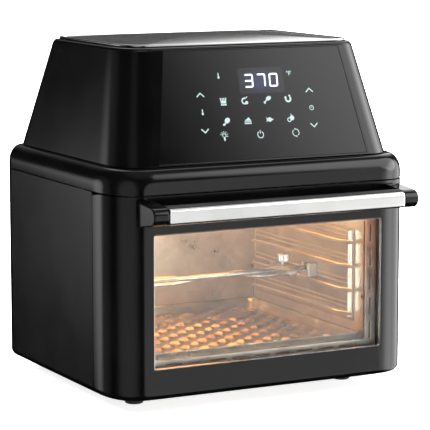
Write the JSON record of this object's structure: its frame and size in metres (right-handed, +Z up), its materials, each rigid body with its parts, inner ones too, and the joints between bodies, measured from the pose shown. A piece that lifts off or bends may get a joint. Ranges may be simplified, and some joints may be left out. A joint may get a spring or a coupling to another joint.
{
  "type": "air fryer oven",
  "caption": "Countertop air fryer oven with a drop-down glass door, a tapered crown with a touch panel, a rotisserie spit and rack rails.",
  "frame": {"origin": "on the worktop, below the middle of the bounding box", "axes": "+Z up, -Y towards the person at the door, +X to that person's right"},
  "size_m": [0.38, 0.375, 0.4076],
  "materials": {
    "black_gloss": "gloss black moulded plastic",
    "black_satin": "satin black moulded plastic",
    "panel_glass": "glossy black touch panel",
    "glass": "clear tempered glass",
    "steel": "brushed stainless steel",
    "liner_steel": "bare stainless sheet, warm in use",
    "dark_steel": "dark painted or oxidised steel",
    "rubber": "matt black",
    "ceramic": "off-white glazed ceramic, stated as matte_plastic",
    "board": "green circuit board"
  },
  "bodies": {
    "root": {"base_pan": "dark_steel", "cavity_back": "liner_steel", "cavity_floor": "liner_steel", "cavity_roof": "liner_steel", "cavity_support": "dark_steel", "cavity_wall_left": "liner_steel", "cavity_wall_right": "liner_steel", "control_panel": "panel_glass", "cord_gland": "rubber", "crown_shell": "black_gloss", "deck_plate": "dark_steel", "display_board": "board", "door_gasket": "rubber", "drip_tray": "liner_steel", "fan_guard": "steel", "fan_housing": "liner_steel", "fan_motor": "steel", "foot_front_left": "rubber", "foot_front_right": "rubber", "foot_rear_left": "rubber", "foot_rear_right": "rubber", "front_frame": "dark_steel", "heating_element": "dark_steel", "hinge_bracket_left": "dark_steel", "hinge_bracket_right": "dark_steel", "lamp_holder": "ceramic", "lamp_lens": "glass", "motor_bracket": "dark_steel", "power_board": "board", "rack_ladder_left": "steel", "rack_ladder_right": "steel", "rear_cover": "black_satin", "rotisserie_motor": "steel", "shoulder_ring": "black_gloss", "side_panel_left": "black_gloss", "side_panel_right": "black_gloss", "spit_rest": "steel", "top_plate": "steel", "top_rim": "steel"},
    "door": {"door_frame": "black_gloss", "window_trim": "steel", "door_glass_outer": "glass", "glass_spacer": "black_satin", "door_liner": "liner_steel", "door_glass_inner": "glass", "hinge_arm_left": "dark_steel", "hinge_arm_right": "dark_steel", "handle_bar": "steel", "handle_core": "black_satin", "handle_cap_left": "black_gloss", "handle_cap_right": "black_gloss"},
    "fan_rotor": {"motor_shaft": "steel", "convection_fan": "steel", "cooling_fan": "black_satin"},
    "spit": {"drive_socket": "dark_steel", "spit_rod": "steel", "fork_left": "steel", "fork_right": "steel", "thumb_screw_left": "steel", "thumb_screw_right": "steel"}
  },
  "joints": [
    {"name": "door_hinge", "type": "hinge", "parent": "root", "child": "door", "pos_m": [0, -0.1175, 0.038], "axis": [1, 0, 0], "range_deg": [0, 76], "stiffness_Nm_per_rad": 0.35, "springref_deg": -114.59},
    {"name": "fan_spin", "type": "hinge", "parent": "root", "child": "fan_rotor", "pos_m": [0, 0.025, 0.3], "axis": [0, 0, 1], "continuous": true},
    {"name": "spit_spin", "type": "hinge", "parent": "root", "child": "spit", "pos_m": [0, 0.005, 0.1225], "axis": [1, 0, 0], "continuous": true}
  ]
}
